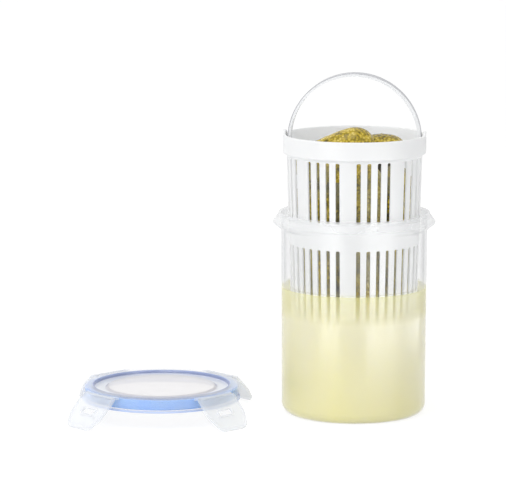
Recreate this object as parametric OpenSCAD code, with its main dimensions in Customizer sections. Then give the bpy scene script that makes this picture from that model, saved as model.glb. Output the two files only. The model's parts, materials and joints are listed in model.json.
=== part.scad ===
// Round pickle keeper: a tall clear container, a slotted basket that lifts the
// pickles out of the brine by its bail, and a clear lid with a soft seal and
// four flaps. The basket is drawn lifted and the lid stands beside it on its
// flaps. Millimetres; the origin is the middle of the container's base.

/* [Container] */
// Outside diameter of the body, just under the collar
container_d = 118; // [104:1:132]
// Outside diameter of the body at its base
container_base_d = 117.2; // [104:0.2:117.8]
// Height from the table to the lip
container_h = 165; // [155:1:200]
// Thickness of the container's wall
container_wall = 1.8; // [1.2:0.1:2.4]
// Thickness of the container's floor
container_floor = 2.5; // [1.8:0.1:4]
// Outside radius where the wall turns into the base
base_corner_r = 9; // [5:0.5:14]
// Width of the flat ring that the container stands on
foot_ring_w = 7; // [4:0.5:12]
// Depth of the recess inside that ring
foot_recess = 1; // [0.5:0.1:1.3]

/* [Container collar] */
// Width of the inside step that carries the basket's rim band
seat_step_w = 2; // [1.6:0.1:2.6]
// Height over which the bore widens at that step
seat_step_h = 2.4; // [1.6:0.1:3.2]
// Thickness of the lip
lip_wall = 2.1; // [1.6:0.1:3]
// Height of the lip above the collar's shelf
lip_h = 3.3; // [2:0.1:5]
// Width of the flat shelf outside the lip
collar_shelf_w = 1.5; // [1:0.1:2]
// How far the collar's edge stands out from the lip
collar_edge_w = 4.3; // [3:0.1:5]
// Drop from the lip to the collar's edge
collar_edge_drop = 8; // [7:0.1:9.5]
// Height of the collar's edge
collar_edge_h = 1; // [0.6:0.1:1.6]
// Drop from the lip to where the collar runs into the body
collar_drop = 14; // [12.5:0.1:16]

/* [Basket] */
// Height of the basket from its floor to its rim
basket_h = 157; // [150:1:162]
// Free play between the rim band and the container's mouth, on each side
mouth_gap = 1.5; // [0.8:0.1:1.7]
// Height of the rim band
band_h = 14.5; // [13:0.1:16]
// Thickness of the rim band
band_wall = 2; // [1.6:0.1:2.4]
// Height of the slope under the rim band
band_slope_h = 2.1; // [1.5:0.1:3]
// How far the basket's wall lies inside the rim band's face
band_step = 3; // [2.6:0.1:5]
// How much the basket's radius shrinks from the band to the floor
basket_taper = 4; // [0:0.1:5]
// Thickness of the basket's wall and floor
basket_wall = 1.6; // [1.2:0.1:2]
// Outside radius where the basket's wall turns into its floor
basket_corner_r = 5; // [3:0.5:8]
// Turn of the basket, seen from above
basket_turn = -5; // [-45:0.5:45]
// Lift of the basket above its seat in the container
basket_lift = 62.3; // [0:0.1:120]

/* [Slots] */
// Width of a slot
slot_w = 3.4; // [2.4:0.1:4.2]
// Bevel of a slot's corners
slot_bevel = 0.7; // [0.3:0.1:1.1]
// Number of slot places round the basket
slot_places = 40; // [32:8:48]
// From the rim to the top of the upper slots
upper_slot_top = 17.4; // [17:0.1:20]
// Length of the upper slots
upper_slot_len = 49; // [40:1:60]
// From the rim to the top of the lower slots
lower_slot_top = 88; // [80:0.5:92]
// Length of the lower slots
lower_slot_len = 58; // [30:1:58]
// Number of wide ribs between the upper slots
upper_ribs = 8; // [4:4:8]
// Number of wide ribs between the lower slots
lower_ribs = 4; // [4:4:8]
// Number of slots in the inner ring of the floor
floor_slots = 8; // [6:1:10]

/* [Bail] */
// Width of the strap
bail_w = 12.5; // [9:0.1:15]
// Thickness of the strap
bail_t = 2.4; // [1.8:0.1:3]
// Space between the strap and the inside of the rim band
bail_gap = 1.8; // [1:0.1:2.5]
// Depth of the pivot below the rim
pivot_drop = 4.6; // [3.6:0.1:6]
// Diameter of the pivot peg
peg_d = 5; // [3.6:0.1:6]
// Radial clearance of the peg in its hole
peg_fit = 0.06; // [0.03:0.01:0.1]
// Radius of the ear round the pivot
ear_r = 7.4; // [6.2:0.1:8.6]

/* [Lid] */
// Radial clearance between the lip and the lid's skirt
skirt_fit = 0.8; // [0.5:0.1:1.2]
// Thickness of the skirt
skirt_wall = 1.6; // [1.2:0.1:2]
// Height of the skirt
skirt_h = 11.6; // [10.5:0.1:13]
// Thickness of the lid's panel
panel_t = 1.5; // [1.2:0.1:2]
// Width of the raised ring, which holds the seal
ring_w = 8.8; // [8.2:0.1:9.4]
// Depth of the panel below the raised ring
panel_drop = 2.9; // [2:0.1:3.4]
// Height of the raised disc above the panel
disc_h = 1.3; // [0.6:0.1:1.8]
// Diameter of the raised disc at its foot
disc_d = 91; // [70:1:98]
// Width of the slope round the raised disc
disc_slope_w = 2; // [1.5:0.1:8]
// How far the flaps' shoulders stand out from the skirt
shoulder_out = 0.6; // [0.4:0.1:1.6]
// How far the bead at the skirt's foot stands out
skirt_bead = 0.6; // [0.3:0.1:0.8]
// Distance from the container's axis to the lid's, to the left
lid_left = 156; // [150:1:220]
// Distance from the container's axis to the lid's, to the front
lid_forward = 15; // [-40:1:60]

/* [Seal] */
// Height of the seal
seal_h = 8.1; // [6.5:0.1:9]
// Width of the seal's leg, which presses on the lip
seal_leg_w = 3.6; // [3:0.1:4]
// Thickness of the seal's inner flange
seal_flange_t = 1.5; // [1:0.1:1.6]
// Play between the seal and its channel
seal_fit = 0.1; // [0:0.05:0.2]
// Width of the groove in the seal's face
seal_groove_w = 1.2; // [0.8:0.1:1.6]

/* [Flaps] */
// Width of a flap at its hinge
flap_w = 38; // [30:0.5:42]
// Width of a flap at its tip
flap_tip_w = 27; // [20:0.5:30]
// Length of a flap from its hinge to its tip
flap_len = 33; // [30:0.5:37]
// Thickness of a flap
flap_t = 1.5; // [1.2:0.1:2]
// Splay of the flaps from the vertical, as the lid stands on them
flap_splay = 45; // [25:1:60]
// Width of the window in a flap
window_w = 14; // [10:0.5:16]
// Height of the window in a flap
window_h = 5; // [4:0.1:6]
// Height of the raised border round a flap
flap_border_t = 0.6; // [0.4:0.1:0.8]
// Width of the raised border round a flap
flap_border_w = 1.8; // [1.2:0.1:2.4]
// Height of the catch inside a flap
catch_h = 2.2; // [1.6:0.1:2.6]
// Depth of the catch inside a flap
catch_depth = 2.4; // [1.8:0.1:2.8]
// Gap of the hinge between the lid's shoulder and a flap
hinge_gap = 0.3; // [0.2:0.05:0.5]
// Drop from the top of the lid to the flaps' hinge
hinge_drop = 1.1; // [0.9:0.1:1.4]

/* [Hidden] */

$fn = 96;
EPS = 0.02;
BIG = 400;

// Container
body_r = container_d / 2;
base_r = container_base_d / 2;
bore_r = body_r - container_wall;
mouth_r = bore_r + seat_step_w;
lip_r = mouth_r + lip_wall;
shelf_r = lip_r + collar_shelf_w;
collar_r = lip_r + collar_edge_w;
shelf_z = container_h - lip_h;
collar_edge_z = container_h - collar_edge_drop;
collar_foot_z = container_h - collar_drop;
// The bore starts to widen just under the collar's slope, which keeps the wall even
seat_foot_z = collar_foot_z - 0.6;
seat_top_z = seat_foot_z + seat_step_h;

// Basket, measured down from its rim
band_r = mouth_r - mouth_gap;
band_in_r = band_r - band_wall;
basket_top_r = band_r - band_step;
basket_foot_r = basket_top_r - basket_taper;
// The band's lower edge meets the widening bore where the two have one radius
seat_z = seat_foot_z + seat_step_h * (band_r - bore_r) / seat_step_w;
seat_play = 0.3;
rim_z = seat_z + band_h + seat_play + basket_lift;

// Bail
bail_r = band_in_r - bail_gap;
peg_r = peg_d / 2;
peg_recess = 0.2;

// Lid, measured down from its top
skirt_in_r = lip_r + skirt_fit;
skirt_r = skirt_in_r + skirt_wall;
ring_in_r = skirt_r - ring_w;
riser_wall = 0.8;
pocket_r = ring_in_r + riser_wall;
bead_h = 1.2;
shoulder_x = skirt_r + shoulder_out;
shoulder_t = 2.2;

// Flaps, measured from the hinge's axis
hinge_r = flap_t / 2;
hinge_x = shoulder_x + hinge_gap + hinge_r;
// With the lid closed the window lies at the height of the collar's edge
seal_squeeze = 0.5;
closed_top = container_h + panel_t + seal_fit + seal_h - seal_squeeze;
window_v = closed_top - hinge_drop - collar_edge_z;
catch_gap = 0.2;
tip_corner_r = 7;
hinge_corner_r = 1.5;
tip_bead_r = 1.1;
window_corner_r = 0.9;
// The lid stands on its flaps' tips
hinge_z = flap_len * cos(flap_splay) + hinge_r * sin(flap_splay);
lid_top_z = hinge_z + hinge_drop;

// ---- Outlines: each point is [x, y, radius of its corner]

function unit(v) = v / norm(v);

// The arc that rounds corner b between a and c
function corner_arc(a, b, c, r) =
    r <= 0 ? [b] :
    let(u = unit(a - b), v = unit(c - b),
        half = acos(u * v) / 2,
        reach = min(r / tan(half), 0.49 * norm(a - b), 0.49 * norm(c - b)),
        rr = reach * tan(half),
        middle = b + unit(u + v) * rr / sin(half),
        from = b + u * reach - middle,
        to = b + v * reach - middle,
        start = atan2(from.y, from.x),
        sweep = (atan2(to.y, to.x) - start + 540) % 360 - 180,
        steps = max(2, ceil(abs(sweep) / 15)))
    [for (i = [0:steps]) middle + rr * [cos(start + sweep * i / steps), sin(start + sweep * i / steps)]];

function rounded(path) =
    let(n = len(path), flat = [for (p = path) [p[0], p[1]]])
    [for (i = [0:n - 1]) each corner_arc(flat[(i + n - 1) % n], flat[i], flat[(i + 1) % n], path[i][2])];

// A slot's outline, from its top down, with bevelled corners
module slot_outline(length, width) {
    side = width / 2;
    inner = side - slot_bevel;
    polygon([
        [-inner, 0], [-side, -slot_bevel], [-side, -length + slot_bevel], [-inner, -length],
        [inner, -length], [side, -length + slot_bevel], [side, -slot_bevel], [inner, 0]
    ]);
}

// ---- Container

module container() {
    inner_corner_r = base_corner_r - container_wall;
    foot_r = base_r - base_corner_r;
    recess_r = foot_r - foot_ring_w;
    color("whitesmoke", 0.45)
    rotate_extrude()
    polygon(rounded([
        [0, foot_recess, 0],
        [recess_r - foot_recess, foot_recess, 1],
        [recess_r, 0, 1],
        [base_r, 0, base_corner_r],
        [body_r, collar_foot_z, 3],
        [collar_r, collar_edge_z - collar_edge_h / 2, 0.4],
        [collar_r, collar_edge_z + collar_edge_h / 2, 0.4],
        [shelf_r, shelf_z, 0.6],
        [lip_r, shelf_z, 0.5],
        [lip_r, container_h, 0.9],
        [mouth_r, container_h, 0.9],
        [mouth_r, seat_top_z, 1],
        [bore_r, seat_foot_z, 2],
        [base_r - container_wall, container_floor, inner_corner_r],
        [0, container_floor, 0]
    ]));
}

// ---- Strainer basket, with its rim at z = 0 and its ears on the X axis

module basket_place() {
    translate([0, 0, rim_z]) rotate([0, 0, basket_turn]) children();
}

module basket_shell() {
    rotate_extrude()
    polygon(rounded([
        [0, -basket_h, 0],
        [basket_foot_r, -basket_h, basket_corner_r],
        [basket_top_r, -band_h - band_slope_h, 1],
        [band_r, -band_h, 0.5],
        [band_r, 0, 0.6],
        [band_in_r, 0, 0.6],
        [band_in_r, -band_h + basket_wall, 1.5],
        [basket_top_r - basket_wall, -band_h - band_slope_h, 1.5],
        [basket_foot_r - basket_wall, -basket_h + basket_wall, basket_corner_r - basket_wall],
        [0, -basket_h + basket_wall, 0]
    ]));
}

// The two ears: the band's wall carried up round the pivots
module ears() {
    intersection() {
        difference() {
            translate([0, 0, -pivot_drop - ear_r]) cylinder(r = band_r, h = 2 * ear_r);
            translate([0, 0, -pivot_drop - ear_r - 1]) cylinder(r = band_in_r, h = 2 * ear_r + 2);
        }
        translate([-BIG / 2, 0, -pivot_drop]) rotate([0, 90, 0]) cylinder(r = ear_r, h = BIG);
    }
}

// One row of slots round the wall; a wide rib takes the place of every nth slot
module slot_row(top, length, ribs) {
    ribs_every = slot_places / ribs;
    for (place = [0:slot_places - 1])
        if (place % ribs_every != 0)
            rotate([0, 0, place * 360 / slot_places])
            translate([band_r - band_step - basket_taper - 2 * basket_wall, 0, -top])
            rotate([90, 0, 90])
            linear_extrude(basket_taper + 3 * basket_wall) slot_outline(length, slot_w);
}

// A ring of drain slots through the floor
module floor_ring(count, from_r, to_r) {
    for (i = [0:count - 1])
        rotate([0, 0, (i + 0.5) * 360 / count])
        translate([0, to_r, -basket_h - 1])
        linear_extrude(basket_wall + 2) slot_outline(to_r - from_r, slot_w);
}

module strainer_basket() {
    floor_rim = basket_foot_r - basket_corner_r - 2;
    floor_rib = 5;
    color("white")
    basket_place()
    difference() {
        union() {
            basket_shell();
            ears();
        }
        slot_row(upper_slot_top, upper_slot_len, upper_ribs);
        slot_row(lower_slot_top, lower_slot_len, lower_ribs);
        floor_ring(floor_slots, floor_rim / 5, floor_rim / 2 - floor_rib / 2);
        floor_ring(2 * floor_slots, floor_rim / 2 + floor_rib / 2, floor_rim);
        translate([-BIG / 2, 0, -pivot_drop])
            rotate([0, 90, 0]) cylinder(r = peg_r + peg_fit, h = BIG);
    }
}

// ---- Bail: a flat strap bent to a half circle, with a round foot and a peg at each end

module bail_handle() {
    color("white")
    basket_place()
    translate([0, 0, -pivot_drop])
    union() {
        difference() {
            rotate([90, 0, 0]) cylinder(r = bail_r, h = bail_w, center = true);
            rotate([90, 0, 0]) cylinder(r = bail_r - bail_t, h = bail_w + 2, center = true);
            translate([-BIG / 2, -BIG / 2, -BIG]) cube([BIG, BIG, BIG]);
        }
        for (side = [0, 180])
            rotate([0, 0, side]) {
                translate([bail_r - bail_t, 0, 0]) rotate([0, 90, 0]) cylinder(d = bail_w, h = bail_t);
                translate([bail_r - bail_t / 2, 0, 0])
                    rotate([0, 90, 0]) cylinder(r = peg_r, h = band_r - peg_recess - bail_r + bail_t / 2);
            }
    }
}

// ---- Lid, with its top at z = 0

module lid_place() {
    translate([-lid_left, -lid_forward, lid_top_z]) children();
}

module lid_section() {
    disc_r = disc_d / 2;
    rotate_extrude()
    polygon(rounded([
        [0, -panel_drop + disc_h, 0],
        [disc_r - disc_slope_w, -panel_drop + disc_h, 1.2],
        [disc_r, -panel_drop, 1],
        [ring_in_r - 0.3, -panel_drop, 0.6],
        [ring_in_r, 0, 0.8],
        [skirt_r, 0, 1],
        [skirt_r, -skirt_h + bead_h, 0.3],
        [skirt_r + skirt_bead, -skirt_h + bead_h - skirt_bead, 0.3],
        [skirt_r + skirt_bead, -skirt_h, 0.3],
        [skirt_in_r, -skirt_h, 0.4],
        [skirt_in_r, -panel_t, 0.5],
        [pocket_r, -panel_t, 0.3],
        [pocket_r, -panel_drop - panel_t, 0.4],
        [disc_r - panel_t / 2, -panel_drop - panel_t, 1],
        [disc_r - disc_slope_w - panel_t / 2, -panel_drop + disc_h - panel_t, 1.2],
        [0, -panel_drop + disc_h - panel_t, 0]
    ]));
}

// The four straight shoulders outside the ring, which the flaps hinge on
module lid_shoulders() {
    corner = 2;
    difference() {
        for (turn = [45:90:315])
            rotate([0, 0, turn])
            translate([0, 0, -shoulder_t])
            linear_extrude(shoulder_t - 0.3)
            polygon(rounded([
                [0, -flap_w / 2, 0],
                [shoulder_x, -flap_w / 2, corner],
                [shoulder_x, flap_w / 2, corner],
                [0, flap_w / 2, 0]
            ]));
        translate([0, 0, -shoulder_t - 1]) cylinder(r = skirt_in_r + skirt_wall / 2, h = shoulder_t + 2);
    }
}

module lid_panel() {
    color("aliceblue", 0.4)
    lid_place()
    union() {
        lid_section();
        lid_shoulders();
    }
}

// ---- Seal: an L-shaped ring; its flange fills the channel's ceiling and its leg meets the lip

module lid_seal() {
    top = -panel_t - seal_fit;
    out_r = skirt_in_r - seal_fit;
    leg_in_r = out_r - seal_leg_w;
    leg_mid_r = out_r - seal_leg_w / 2;
    color("royalblue")
    lid_place()
    rotate_extrude()
    polygon(rounded([
        [pocket_r + seal_fit, top, 0.3],
        [out_r, top, 0.5],
        [out_r, top - seal_h, 0.7],
        [leg_mid_r + seal_groove_w / 2, top - seal_h, 0.3],
        [leg_mid_r, top - seal_h + seal_groove_w / 2, 0.3],
        [leg_mid_r - seal_groove_w / 2, top - seal_h, 0.3],
        [leg_in_r, top - seal_h, 0.7],
        [leg_in_r, top - seal_flange_t, 0.5],
        [pocket_r + seal_fit, top - seal_flange_t, 0.5]
    ]));
}

// ---- Flaps: the hinge runs along Y, the flap hangs down Z and its outer face looks along X

// The flap's outline, drawn in from its edge by inset
function flap_outline(inset) =
    let(half = flap_w / 2 - inset, tip = flap_tip_w / 2 - inset, waist = window_v + window_h / 2)
    rounded([
        [-half, -inset, hinge_corner_r],
        [-half, -waist, 12],
        [-tip, -flap_len + inset, tip_corner_r - inset],
        [tip, -flap_len + inset, tip_corner_r - inset],
        [half, -waist, 12],
        [half, -inset, hinge_corner_r]
    ]);

// Turns an outline drawn in X and Y into a plate of thickness t whose inner face is at x = from
module plate(from, t) {
    translate([from, 0, 0]) rotate([90, 0, 90]) linear_extrude(t) children();
}

module window_outline(margin) {
    w = window_w / 2 + margin;
    h = window_h / 2 + margin;
    corner = window_corner_r + margin;
    translate([0, -window_v])
        polygon(rounded([[-w, -h, corner], [w, -h, corner], [w, h, corner], [-w, h, corner]]));
}

module flap() {
    border_from = flap_t / 2 - EPS;
    catch_top = window_v + window_h / 2 + catch_gap;
    hinge_len = flap_w - 2 * hinge_corner_r;
    difference() {
        union() {
            plate(-flap_t / 2, flap_t) polygon(flap_outline(0));
            // Raised border, and a frame round the window
            plate(border_from, flap_border_t + EPS) difference() {
                polygon(flap_outline(0.3));
                polygon(flap_outline(flap_border_w));
            }
            plate(border_from, flap_border_t + EPS) window_outline(flap_border_w);
            // Catch, which snaps under the collar
            translate([0, window_w / 2, 0]) rotate([90, 0, 0]) linear_extrude(window_w)
                polygon(rounded([
                    [-flap_t / 2 + EPS, -catch_top, 0],
                    [-flap_t / 2 - catch_depth, -catch_top, 0.5],
                    [-flap_t / 2 - catch_depth, -catch_top - catch_h / 2, 0.5],
                    [-flap_t / 2 + EPS, -catch_top - catch_h, 0]
                ]));
            // Finger bead along the tip
            translate([0, flap_tip_w / 2 - tip_corner_r, -flap_len + tip_bead_r + 1])
                rotate([90, 0, 0]) cylinder(r = tip_bead_r, h = flap_tip_w - 2 * tip_corner_r);
        }
        // The bare zone at the hinge, which the round hinge edge replaces
        translate([-BIG / 2, -BIG / 2, -hinge_r]) cube([BIG, BIG, BIG]);
        plate(-BIG / 2, BIG) window_outline(0);
    }
    // Round hinge edge
    translate([0, hinge_len / 2, 0]) rotate([90, 0, 0]) cylinder(r = hinge_r, h = hinge_len);
    translate([-hinge_r, -hinge_len / 2, -hinge_r - EPS]) cube([2 * hinge_r, hinge_len, hinge_r + EPS]);
}

module lid_flap(azimuth) {
    color("aliceblue", 0.5)
    lid_place()
    rotate([0, 0, azimuth])
    translate([hinge_x, 0, -hinge_drop])
    rotate([0, -flap_splay, 0])
    flap();
}

module flap_front_left() { lid_flap(225); }
module flap_front_right() { lid_flap(315); }
module flap_back_right() { lid_flap(45); }
module flap_back_left() { lid_flap(135); }

container();
strainer_basket();
bail_handle();
lid_panel();
lid_seal();
flap_front_left();
flap_front_right();
flap_back_right();
flap_back_left();
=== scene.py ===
# Looks of the round pickle keeper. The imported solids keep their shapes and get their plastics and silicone;
# the brine, the gherkins and the films of the flaps' living hinges are made here. Metres, in the solids' frame.
import json
import math
import random

import bpy
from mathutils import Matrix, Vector, noise


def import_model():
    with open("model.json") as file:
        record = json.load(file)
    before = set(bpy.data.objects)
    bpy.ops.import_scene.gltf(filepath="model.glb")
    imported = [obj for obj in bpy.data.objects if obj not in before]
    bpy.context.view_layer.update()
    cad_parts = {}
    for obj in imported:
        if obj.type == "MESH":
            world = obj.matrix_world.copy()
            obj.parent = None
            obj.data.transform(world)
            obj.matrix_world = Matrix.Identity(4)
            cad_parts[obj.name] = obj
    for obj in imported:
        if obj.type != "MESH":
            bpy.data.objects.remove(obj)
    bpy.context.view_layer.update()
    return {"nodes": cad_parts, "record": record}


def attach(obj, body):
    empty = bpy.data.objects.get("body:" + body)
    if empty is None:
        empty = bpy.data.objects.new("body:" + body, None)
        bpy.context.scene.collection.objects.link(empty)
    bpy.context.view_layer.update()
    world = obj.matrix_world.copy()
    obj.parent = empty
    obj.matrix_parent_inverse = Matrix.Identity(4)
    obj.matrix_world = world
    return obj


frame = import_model()

MM = 0.001

# The sizes of the solids that the added pieces meet
BODY_R = 59.0 * MM  # container's outside under its collar
BASE_R = 58.6 * MM  # and at its base
BASE_CORNER_R = 9.0 * MM
COLLAR_FROM = 151.0 * MM
FROST_FROM = 155.0 * MM
FOOT_R = 42.6 * MM  # inside radius of the ring that the container stands on
FOOT_RECESS = 1.0 * MM
BASKET_FLOOR = 72.7 * MM
BAIL_PIVOT = Vector((0.0, 0.0, 223.5)) * MM
BAIL_R = 53.9 * MM  # outside of its strap
LID_MIDDLE = Vector((-156.0, -15.0, 0.0)) * MM
SHOULDER_X = 64.3 * MM  # from the lid's axis to the face of a flap's shoulder
HINGE_X = 65.35 * MM  # and to the flap's hinge
HINGE_Z = 23.865 * MM
BEAD_R = 64.4 * MM  # just outside the bead at the foot of the lid's skirt
BEAD_TO = 14.7 * MM  # and just above it
FLAP_AZIMUTHS = {"front_left": 225, "front_right": 315, "back_right": 45, "back_left": 135}

# What the keeper holds
BRINE_LEVEL = 104.5 * MM
BRINE_CLEAR_TO = 80.0 * MM  # the spice has settled below this height
SKIN_INSET = 0.3 * MM  # from the wall's outer face to the brine that is seen
CORE_INSET = 0.9 * MM  # and to the settled brine that casts the shadow
LOWER_LAYER_TO, UPPER_LAYER_FROM = 149.5, 150.5  # millimetres, behind the belt between the two rows of slots


# ---- Materials


def srgb(red, green, blue):
    """A colour given as 0 to 255 on screen, as the shaders read it."""
    linear = [c / 3294.6 if c <= 10.3 else ((c / 255 + 0.055) / 1.055) ** 2.4 for c in (red, green, blue)]
    return (*linear, 1.0)


def grey(level):
    """A number as a ramp's colour."""
    return (level, level, level, 1.0)


class Look:
    """A material on one Principled shader, with helpers for the patterns that feed it."""

    def __init__(self, name):
        self.material = bpy.data.materials.new(name)
        self.material.use_nodes = True
        self.tree = self.material.node_tree
        self.shader = self.tree.nodes["Principled BSDF"]
        self.place = self.tree.nodes.new("ShaderNodeTexCoord").outputs["Object"]

    def node(self, kind, inputs=(), **settings):
        made = self.tree.nodes.new(kind)
        for name, value in settings.items():
            setattr(made, name, value)
        for key, value in dict(inputs).items():
            self.feed(made.inputs[key], value)
        return made

    def feed(self, socket, value):
        """Sets a socket to a number or colour, or links another socket to it."""
        if isinstance(value, bpy.types.NodeSocket):
            self.tree.links.new(value, socket)
        else:
            socket.default_value = value

    def set(self, **values):
        for name, value in values.items():
            self.feed(self.shader.inputs[name.replace("_", " ")], value)

    def noise(self, scale, detail=3.0, roughness=0.5, stretch=(1, 1, 1)):
        place = self.place
        if stretch != (1, 1, 1):
            place = self.node("ShaderNodeMapping", {"Vector": place, "Scale": stretch}).outputs["Vector"]
        inputs = {"Vector": place, "Scale": scale, "Detail": detail, "Roughness": roughness}
        return self.node("ShaderNodeTexNoise", inputs).outputs["Fac"]

    def spread(self, value, low, high, to_low, to_high, smooth=False):
        """Maps value from low..high to to_low..to_high."""
        kind = "SMOOTHSTEP" if smooth else "LINEAR"
        inputs = {"Value": value, "From Min": low, "From Max": high, "To Min": to_low, "To Max": to_high}
        return self.node("ShaderNodeMapRange", inputs, interpolation_type=kind).outputs["Result"]

    def ramp(self, value, *stops):
        """A colour that runs through stops, each (position, colour)."""
        made = self.node("ShaderNodeValToRGB", {"Fac": value})
        elements = made.color_ramp.elements
        while len(elements) < len(stops):
            elements.new(0.5)
        for element, (position, colour) in zip(elements, stops):
            element.position = position
            element.color = colour
        return made.outputs["Color"]

    def bump(self, height, distance, strength=1.0, under=None):
        inputs = {"Height": height, "Distance": distance, "Strength": strength}
        if under is not None:
            inputs["Normal"] = under
        return self.node("ShaderNodeBump", inputs).outputs["Normal"]

    def axis(self, name):
        return self.node("ShaderNodeSeparateXYZ", {"Vector": self.place}).outputs[name]

    def reach(self, middle, along):
        """How far the surface is from middle, counting the axes that are 1 in along."""
        shifted = self.node("ShaderNodeVectorMath", {0: self.place, 1: -Vector(middle)}).outputs[0]
        flat = self.node("ShaderNodeVectorMath", {0: shifted, 1: along}, operation="MULTIPLY").outputs[0]
        return self.node("ShaderNodeVectorMath", {0: flat}, operation="LENGTH").outputs["Value"]

    def sum(self, first, second, share=1.0):
        """first plus share of second, kept within 0 to 1."""
        inputs = {0: second, 1: share, 2: first}
        return self.node("ShaderNodeMath", inputs, operation="MULTIPLY_ADD", use_clamp=True).outputs[0]

    def product(self, first, second):
        return self.node("ShaderNodeMath", {0: first, 1: second}, operation="MULTIPLY").outputs[0]

    def mixed(self, share, first, second):
        """The first colour at share 0, the second at 1."""
        return self.node("ShaderNodeMix", {0: share, 6: first, 7: second}, data_type="RGBA").outputs[2]

    def moulded(self, rough, wave):
        """The surface of a moulding: patchy gloss over the slow waves of a wall that shrank as it cooled."""
        self.set(Roughness=self.spread(self.noise(90, 4), 0.3, 0.7, rough * 0.85, rough * 1.2))
        if wave:
            self.set(Normal=self.bump(self.noise(30, 1), wave))

    def wall(self, square_on, edge_on, haze):
        """Sets how much a clear wall holds back: more where it is seen edge on, and with faint clouds."""
        facing = self.node("ShaderNodeLayerWeight", {"Blend": 0.5}).outputs["Facing"]
        held = self.spread(facing, 0.5, 1.0, square_on, edge_on, smooth=True)
        cloud = self.spread(self.noise(30, 4), 0.35, 0.65, -haze, haze)
        self.set(Alpha=self.sum(held, cloud))


def clear_body():
    """Clear polypropylene, frosted from the collar's edge up to the lip.

    Below the brine's level it is yellow, a stand-in for the brine's colour that a clear wall carries to its edge.
    """
    look = Look("clear_body")
    height = look.axis("Z")
    frosted = look.spread(height, FROST_FROM, FROST_FROM + 2 * MM, 0, 1, smooth=True)
    dry = look.spread(height, BRINE_LEVEL, BRINE_LEVEL + 4 * MM, 0, 1)
    edge_on = look.sum(look.spread(dry, 0, 1, 0.2, 0.55), frosted, 0.05)
    look.wall(look.spread(frosted, 0, 1, 0.06, 0.3), edge_on, 0.015)
    clear = look.mixed(dry, srgb(236, 231, 186), srgb(221, 222, 224))
    look.set(Base_Color=look.mixed(frosted, clear, srgb(234, 235, 236)), IOR=1.49)
    look.moulded(0.2, 0)
    return look.material


def clear_lid():
    """Clear polypropylene, glass clear over the seal and cloudier in the panel and the flaps."""
    look = Look("clear_lid")
    radius = look.reach(LID_MIDDLE, along=(1, 1, 0))

    def by_radius(*stops):
        """A ramp outward from the lid's axis; each stop is (millimetres, colour)."""
        reach = 100.0
        share = look.spread(radius, 0, reach * MM, 0, 1)
        return look.ramp(share, *((millimetres / reach, colour) for millimetres, colour in stops))

    # The disc to 43, its slope to 45, the panel, the ring's inner face from 54.7 to 55.9, the ring's top to 62, the
    # skirt, and beyond it the flaps
    # Painted shade: the disc's slope from 43 to 45 is greyer. Painted light: the ring's inner face from 54.7 to 55.9 is
    # blue, a stand-in for the seal's colour that clear plastic carries to its edge
    tint = by_radius(
        (42.8, srgb(252, 250, 252)),
        (43.4, srgb(204, 202, 207)),
        (45.2, srgb(217, 216, 224)),
        (46.2, srgb(236, 240, 247)),
        (54.64, srgb(244, 248, 255)),
        (54.7, srgb(128, 144, 196)),
        (55.9, srgb(156, 170, 214)),
        (56.4, srgb(246, 250, 255)),
        (64, srgb(247, 250, 255)),
    )
    held = by_radius(
        (42.8, grey(0.5)),
        (43.4, grey(0.8)),
        (45.2, grey(0.8)),
        (46.2, grey(0.72)),
        (55.9, grey(0.8)),
        (56.4, grey(0.28)),
        (61.6, grey(0.28)),
        (62, grey(0.08)),
        (64, grey(0.08)),
        (64.4, grey(0.36)),
    )
    # Blue at the bead of the skirt's foot, a stand-in for the seal's colour that clear plastic carries to its edge
    low = look.spread(look.axis("Z"), BEAD_TO, BEAD_TO + 0.4 * MM, 1, 0)
    bead = look.product(low, look.spread(radius, BEAD_R - 0.05 * MM, BEAD_R, 1, 0))
    held = look.sum(held, bead, 0.6)
    look.wall(held, look.sum(held, 0.25), 0.02)
    look.set(Base_Color=look.mixed(bead, tint, srgb(196, 214, 250)), IOR=1.49)
    look.moulded(0.16, 0)
    return look.material


def waxy_white(name, dull, bright, soaked):
    """White polypropylene: a look and its colour. Where it is thin the light soaks through."""
    look = Look(name)
    white = look.ramp(look.noise(26, 4), (0.35, dull), (0.65, bright))
    look.set(
        Base_Color=white,
        Subsurface_Weight=soaked,
        Subsurface_Radius=(0.006, 0.006, 0.0064),
        Subsurface_Scale=1.0,
        IOR=1.49,
    )
    look.moulded(0.36, 0.00002)
    return look, white


def basket_plastic():
    look, _ = waxy_white("white_plastic", srgb(248, 249, 250), srgb(252, 253, 253), 0.45)
    return look.material


def bail_plastic():
    """Painted shade: greyer on the strap's outer face, a stand-in for the grey line along its edge in the photograph.
    """
    look, white = waxy_white("bail_plastic", srgb(240, 241, 242), srgb(245, 246, 247), 0)
    # Painted shade: the strap's outer face is greyer, as if in shade along its edge
    rubbed = look.spread(look.reach(BAIL_PIVOT, along=(1, 0, 1)), BAIL_R - 0.5 * MM, BAIL_R - 0.2 * MM, 0, 1)
    look.set(Base_Color=look.mixed(rubbed, white, srgb(188, 189, 194)))
    return look.material


def blue_silicone():
    """Soft silicone with a dusty sheen."""
    look = Look("blue_silicone")
    look.set(
        Base_Color=look.ramp(look.noise(60, 4), (0.3, srgb(146, 190, 255)), (0.7, srgb(164, 203, 255))),
        Subsurface_Weight=0.2,
        Subsurface_Radius=(0.002, 0.0025, 0.004),
        Subsurface_Scale=1.0,
        Sheen_Weight=0.2,
        Sheen_Roughness=0.4,
        IOR=1.41,
    )
    look.moulded(0.45, 0.00003)
    return look.material


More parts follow.
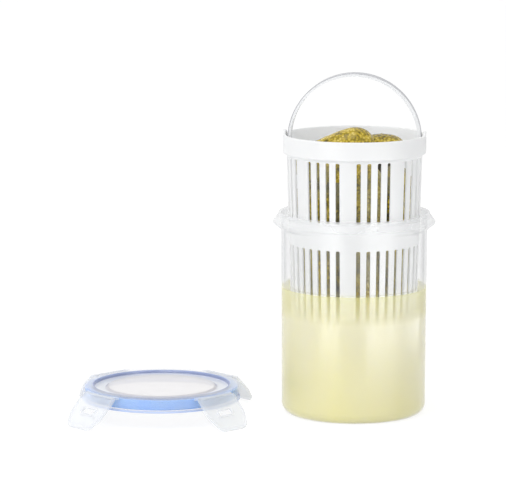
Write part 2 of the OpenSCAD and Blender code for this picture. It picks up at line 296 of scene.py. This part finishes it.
def brine_look():
    """Cloudy yellow brine, clearer just under its surface where the spice hasn't settled."""
    look = Look("brine")
    height = look.axis("Z")
    share = look.spread(height, BRINE_CLEAR_TO, BRINE_LEVEL, 0, 1)
    cloudy = look.ramp(share, (0, grey(0.98)), (0.45, grey(0.68)), (1, grey(0.5)))
    surface = look.spread(height, BRINE_LEVEL - 0.3 * MM, BRINE_LEVEL - 0.1 * MM, 0, 0.38)
    swirl = look.spread(look.noise(20, 4, 0.55, stretch=(1, 1, 0.4)), 0.3, 0.7, 0, 0.45)
    rise = look.spread(height, 0, BRINE_CLEAR_TO, 0, 0.55)
    body = look.ramp(look.sum(swirl, rise), (0.1, srgb(237, 231, 174)), (0.9, srgb(238, 234, 204)))
    look.set(
        Base_Color=look.mixed(share, body, srgb(245, 240, 172)),
        Alpha=look.sum(cloudy, surface, -1.0),
        Subsurface_Weight=0.35,
        Subsurface_Radius=(0.02, 0.018, 0.01),
        Subsurface_Scale=1.0,
        Roughness=0.3,
        Coat_Weight=look.spread(height, BRINE_CLEAR_TO - 2 * MM, BRINE_CLEAR_TO + 4 * MM, 1, 0.1),
        Coat_Roughness=0.2,
        Coat_IOR=1.36,
        IOR=1.34,
    )
    return look.material


def gherkin_look():
    """Wet pickled skin: gold on the bumps, olive between them, with darker and paler patches."""
    look = Look("gherkin")
    wart = look.node("ShaderNodeAttribute", attribute_name="wart").outputs["Fac"]
    cells = look.node("ShaderNodeTexVoronoi", {"Vector": look.place, "Scale": 420, "Randomness": 1.0}, feature="F1")
    knobs = look.spread(cells.outputs["Distance"], 0.15, 0.75, 1, 0, smooth=True)
    patches = look.spread(look.noise(95, 5, 0.7), 0.34, 0.66, 0, 0.62)
    tone = look.sum(look.sum(patches, knobs, 0.34), wart, 0.12)
    # A stand-in for shade: deep between the gherkins the light gives out
    height = look.axis("Z")
    deep = look.spread(look.reach((0, 0, 0), along=(1, 1, 0)), 30 * MM, 42 * MM, 1, 0, smooth=True)
    under = look.ramp(
        look.spread(height, 120 * MM, 220 * MM, 0, 1),
        (0.1, grey(0.36)),
        (0.5, grey(0.62)),
        (0.86, grey(0.62)),
        (0.96, grey(0)),
    )
    tone = look.sum(tone, look.product(deep, under), -1.0)
    skin = look.ramp(
        tone,
        (0, srgb(74, 69, 58)),
        (0.1, srgb(92, 80, 14)),
        (0.3, srgb(154, 134, 20)),
        (0.55, srgb(206, 178, 44)),
        (0.85, srgb(246, 226, 120)),
    )
    # Greyer patches, but not on the gherkins that lie on top
    low = look.spread(height, 204 * MM, 212 * MM, 1, 0)
    faded = look.product(look.spread(look.noise(26, 2), 0.42, 0.6, 0, 0.7), low)
    look.set(
        Base_Color=look.mixed(faded, skin, srgb(168, 162, 122)),
        Roughness=look.spread(look.noise(160, 3), 0.3, 0.7, 0.3, 0.5),
        Subsurface_Weight=0.1,
        Subsurface_Radius=(0.004, 0.003, 0.001),
        Subsurface_Scale=1.0,
        Specular_IOR_Level=0.3,
        Coat_Weight=0.5,
        Coat_Roughness=0.06,
        IOR=1.4,
        Normal=look.bump(look.sum(knobs, look.noise(900, 2), 0.4), 0.0008),
    )
    return look.material


LOOKS = {
    "clear_body": clear_body(),
    "clear_lid": clear_lid(),
    "white_plastic": basket_plastic(),
    "blue_seal": blue_silicone(),
}
BAIL = bail_plastic()
BRINE = brine_look()
GHERKIN = gherkin_look()

for part in frame["record"]["subparts"]:
    node = frame["nodes"][part["node"]]
    for slot in node.material_slots:
        slot.material = BAIL if part["node"] == "bail_handle" else LOOKS[part["material_slot"]]
# Light reaches what the clear container holds
frame["nodes"]["container"].visible_shadow = False


# ---- Added pieces


def piece(name, points, faces, material, body, crease=180):
    """A mesh of its own that rides on one body; its shading breaks where faces meet at over crease degrees."""
    mesh = bpy.data.meshes.new(name)
    mesh.from_pydata([tuple(p) for p in points], [], faces)
    mesh.validate()
    mesh.update()
    mesh.shade_smooth()
    mesh.set_sharp_from_angle(angle=math.radians(crease))
    mesh.materials.append(material)
    made = bpy.data.objects.new(name, mesh)
    bpy.context.scene.collection.objects.link(made)
    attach(made, body)
    return made


def turned(profile, around):
    """Points and faces of a closed form turned about Z from (radius, height) pairs that start and end on the axis."""
    points = [Vector((0, 0, profile[0][1]))]
    for radius, height in profile[1:-1]:
        for i in range(around):
            angle = math.tau * i / around
            points.append(Vector((radius * math.cos(angle), radius * math.sin(angle), height)))
    points.append(Vector((0, 0, profile[-1][1])))
    rings = len(profile) - 2
    faces = []
    for i in range(around):
        j = (i + 1) % around
        faces.append((0, 1 + j, 1 + i))
        for ring in range(rings - 1):
            low, high = 1 + ring * around, 1 + (ring + 1) * around
            faces.append((low + i, low + j, high + j, high + i))
        top = 1 + (rings - 1) * around
        faces.append((top + i, top + j, len(points) - 1))
    return points, faces


def brine():
    """Fills the container to BRINE_LEVEL.

    A clear wall bends the light so that what it holds looks as wide as the wall itself, so the brine's skin is just
    inside the wall's outer face. The core is the settled part, which casts the shadow.
    """
    steps, around = 12, 128

    def outline(inset, top):
        """From the middle of the foot to the wall at height top."""
        foot = BASE_R - BASE_CORNER_R
        corner = BASE_CORNER_R - inset
        recess = FOOT_RECESS + inset
        points = [(0, recess), (FOOT_R - recess, recess), (FOOT_R + inset, inset)]
        for step in range(steps):
            angle = math.pi / 2 * step / steps
            points.append((foot + corner * math.sin(angle), BASE_CORNER_R - corner * math.cos(angle)))
        for step in range(steps + 1):
            height = BASE_CORNER_R + (top - BASE_CORNER_R) * step / steps
            points.append((BASE_R + (BODY_R - BASE_R) * height / COLLAR_FROM - inset, height))
        return points

    core = outline(CORE_INSET, BRINE_CLEAR_TO)
    core += [(radius * MM, BRINE_CLEAR_TO) for radius in (40, 20, 0)]
    piece("brine_core", *turned(core, around), BRINE, "container", crease=60)

    climb = 1.2 * MM  # the surface creeps up the wall
    skin = outline(SKIN_INSET, BRINE_LEVEL + climb)
    edge = skin[-1][0]
    for inward, share in ((2.1, 0.55), (2.6, 0.25), (3.4, 0.07), (4.4, 0), (9, 0), (24, 0), (40, 0)):
        skin.append((edge - inward * MM, BRINE_LEVEL + climb * share))
    skin.append((0, BRINE_LEVEL))
    outside = piece("brine_skin", *turned(skin, around), BRINE, "container", crease=60)
    # Light reaches the basket in the clear layer
    outside.visible_shadow = False
    outside.visible_diffuse = False


def gherkin(name, start, end, radius, seed):
    """A gherkin between two points of its axis, in millimetres, each a radius inside its ends."""
    start, end = Vector(start) * MM, Vector(end) * MM
    radius *= MM
    chance = random.Random(seed)
    along = (end - start).normalized()
    side = along.orthogonal().normalized()
    other = along.cross(side)
    half = (end - start).length / 2 + radius
    middle = (start + end) / 2
    bow = chance.uniform(0.2, 0.8) * MM
    phase = chance.uniform(0, math.tau)
    shift = Vector((chance.uniform(0, 9), chance.uniform(0, 9), chance.uniform(0, 9)))
    rings, around = 64, 48
    points, warts = [], []
    for ring in range(rings + 1):
        reach = -math.cos(math.pi * ring / rings)
        girth = radius * (1 - abs(reach) ** (2 + 1.2 * (half / radius - 1))) ** 0.5
        centre = middle + along * half * reach + side * bow * (1 - reach * reach)
        for i in range(around if 0 < ring < rings else 1):
            angle = math.tau * i / around
            out = side * math.cos(angle) + other * math.sin(angle)
            at = centre + out * girth
            seeded = at + shift
            lobes = 1 + 0.03 * math.cos(3 * angle + phase)
            near = noise.voronoi(seeded * 165)[0][0]
            wart = max(0.0, 1 - near / 0.42) ** 1.5
            slow = noise.noise(seeded * 60)
            rise = (0.75 * wart + 0.45 * slow - 0.75) * MM
            normal = (out * girth / radius + along * reach * abs(reach) ** 2).normalized()
            points.append(centre + out * girth * lobes + normal * rise)
            warts.append(wart)
    faces = []
    last = 1 + (rings - 1) * around
    for i in range(around):
        j = (i + 1) % around
        faces.append((0, 1 + j, 1 + i))
        for ring in range(rings - 2):
            low, high = 1 + ring * around, 1 + (ring + 1) * around
            faces.append((low + i, low + j, high + j, high + i))
        faces.append((last - around + i, last - around + j, last))
    made = piece(name, points, faces, GHERKIN, "basket")
    # The basket's walls stay white
    made.visible_diffuse = False
    values = made.data.attributes.new("wart", "FLOAT", "POINT")
    values.data.foreach_set("value", warts)


def gherkins():
    """Two layers stand in the basket and three gherkins lie on top."""
    bottom = BASKET_FLOOR / MM + 0.3
    chance = random.Random(7)
    count = 0

    def stand(x, y, low, high, radius):
        nonlocal count
        count += 1
        lean = [chance.uniform(-1.2, 1.2) for _ in range(2)]
        start = (x, y, low + radius)
        end = (x + lean[0], y + lean[1], high - radius)
        gherkin(f"gherkin_{count:02d}", start, end, radius, count)

    tops = {0: 205, 60: 207, 120: 205, 180: 190, 240: 187, 300: 211}
    for angle, top in tops.items():
        for turn, out, low, high, radius in (
            (38, 32.2, bottom, LOWER_LAYER_TO, 15.2),
            (-18, 34, UPPER_LAYER_FROM, top, 16.4),
        ):
            azimuth = math.radians(angle + turn)
            stand(out * math.cos(azimuth), out * math.sin(azimuth), low, high, radius)
    stand(0, 0, bottom, 138, 15)
    stand(0, 0, 139, 202, 16)
    gherkin("gherkin_lying_left", (-33, 5, 202.5), (0.5, 4, 218.2), 16.7, 51)
    gherkin("gherkin_lying_right", (15, 25, 212), (29, 20, 212.6), 13.6, 52)
    gherkin("gherkin_lying_front", (-33, -23, 203), (-7, -38, 203), 11.5, 53)


def hinge_films():
    """The thin film that joins each flap to its shoulder; it ends on the hinge's axis, inside the flap's round edge."""
    half_width = 16.5 * MM
    # From the hinge's axis to the shoulder, whose face it enters and where it is thicker: (radius, half its thickness)
    upper = [(SHOULDER_X - 0.8 * MM, 0.3), (SHOULDER_X + 0.2 * MM, 0.22), (HINGE_X, 0.22)]
    section = upper + [(x, -z) for x, z in reversed(upper)]
    for name, azimuth in FLAP_AZIMUTHS.items():
        angle = math.radians(azimuth)
        out = Vector((math.cos(angle), math.sin(angle), 0))
        along = Vector((-math.sin(angle), math.cos(angle), 0))
        points = [
            LID_MIDDLE + out * x + along * half_width * side + Vector((0, 0, HINGE_Z + z * MM))
            for side in (-1, 1)
            for x, z in section
        ]
        n = len(section)
        faces = [tuple(range(n)), tuple(range(2 * n - 1, n - 1, -1))]
        faces += [(i, i + n, (i + 1) % n + n, (i + 1) % n) for i in range(n)]
        film = piece(f"hinge_film_{name}", points, faces, LOOKS["clear_lid"], "lid", crease=30)


brine()
gherkins()
hinge_films()


# ---- Floor, light and camera


def white_to_the_eye(tree):
    """A socket that is 1 for what the camera, a mirror or clear plastic shows, and 0 for light on the object."""
    path = tree.nodes.new("ShaderNodeLightPath")
    total = path.outputs["Is Camera Ray"]
    for name in ("Is Glossy Ray", "Is Transmission Ray"):
        both = tree.nodes.new("ShaderNodeMath")
        both.operation = "MAXIMUM"
        tree.links.new(total, both.inputs[0])
        tree.links.new(path.outputs[name], both.inputs[1])
        total = both.outputs[0]
    return total


def world():
    """An even white surround, a little dimmer from the right for what it lights."""
    made = bpy.data.worlds.new("studio")
    bpy.context.scene.world = made
    made.use_nodes = True
    tree = made.node_tree
    back = tree.nodes["Background"]
    back.inputs["Color"].default_value = (1, 1, 1, 1)
    split = tree.nodes.new("ShaderNodeSeparateXYZ")
    tree.links.new(tree.nodes.new("ShaderNodeTexCoord").outputs["Generated"], split.inputs[0])
    light = tree.nodes.new("ShaderNodeMapRange")
    for name, value in (("From Min", -1), ("From Max", 1), ("To Min", 0.8), ("To Max", 0.5)):
        light.inputs[name].default_value = value
    tree.links.new(split.outputs["X"], light.inputs["Value"])
    strength = tree.nodes.new("ShaderNodeMapRange")
    tree.links.new(light.outputs["Result"], strength.inputs["To Min"])
    strength.inputs["To Max"].default_value = 1.0
    tree.links.new(white_to_the_eye(tree), strength.inputs["Value"])
    tree.links.new(strength.outputs["Result"], back.inputs["Strength"])


def floor():
    look = Look("studio_floor")
    tree = look.tree
    look.set(Base_Color=srgb(244, 245, 247), Roughness=0.9, Specular_IOR_Level=0.1)
    glow = look.node("ShaderNodeEmission", {"Color": (1, 1, 1, 1), "Strength": 0.86})
    matt = look.node("ShaderNodeBsdfDiffuse", {"Color": (0.22, 0.22, 0.22, 1)})
    seen = look.node("ShaderNodeAddShader", {0: glow.outputs[0], 1: matt.outputs[0]})
    mixed = look.node("ShaderNodeMixShader", {0: white_to_the_eye(tree), 1: look.shader.outputs[0], 2: seen.outputs[0]})
    tree.links.new(mixed.outputs[0], tree.nodes["Material Output"].inputs["Surface"])
    size = 6
    mesh = bpy.data.meshes.new("floor")
    mesh.from_pydata([(-size, -size, 0), (size, -size, 0), (size, size, 0), (-size, size, 0)], [], [(0, 1, 2, 3)])
    mesh.materials.append(look.material)
    made = bpy.data.objects.new("floor", mesh)
    bpy.context.scene.collection.objects.link(made)


def aimed(name, data, place, target):
    """Puts a lamp or a camera at place, turned to target."""
    made = bpy.data.objects.new(name, data)
    made.location = place
    made.rotation_euler = (Vector(target) - Vector(place)).to_track_quat("-Z", "Y").to_euler()
    bpy.context.scene.collection.objects.link(made)
    return made


def softbox(name, place, width, height, power):
    """A lamp turned to the middle of what the camera sees."""
    lamp = bpy.data.lights.new(name, "AREA")
    lamp.shape = "RECTANGLE"
    lamp.size = width
    lamp.size_y = height
    lamp.energy = power
    return aimed(name, lamp, place, (-0.06, 0, 0.12))


def reflected_strip(name, azimuth, width, height, brightness):
    """An upright panel that only shows as a reflection, as the soft vertical bands on the container."""
    distance = 0.35
    angle = math.radians(azimuth)
    lamp = bpy.data.lights.new(name, "AREA")
    lamp.shape = "RECTANGLE"
    lamp.size = width
    lamp.size_y = height
    lamp.energy = brightness * math.pi * width * height
    place = (distance * math.sin(angle), -distance * math.cos(angle), height / 2)
    made = aimed(name, lamp, place, (0, 0, height / 2))
    made.visible_camera = False
    made.visible_diffuse = False
    made.visible_transmission = False


def camera():
    """Set so that the keeper's rings fall where the photograph has them."""
    lens = bpy.data.cameras.new("camera")
    lens.sensor_width = 36
    lens.lens = 230.8
    lens.clip_start = 0.05
    lens.clip_end = 40
    bpy.context.scene.camera = aimed("camera", lens, (0.018, -2.598, 0.553), (-0.082, 0, 0.1315))


world()
floor()
softbox("key_left", (-1.5, -1.75, 0.95), 0.9, 1.4, 9.2)
softbox("fill_right", (1.5, -1.75, 0.85), 0.7, 1.2, 3.7)
softbox("top", (-0.3, -0.7, 2.2), 1.4, 1.4, 13)
reflected_strip("band_left", -35.3, 0.19, 0.15, 3.9)
reflected_strip("band_right", 44, 0.34, 0.15, 5.4)
reflected_strip("edge_right", 96, 0.34, 0.11, 2.8)
camera()

view = bpy.context.scene.view_settings
view.view_transform = "Standard"
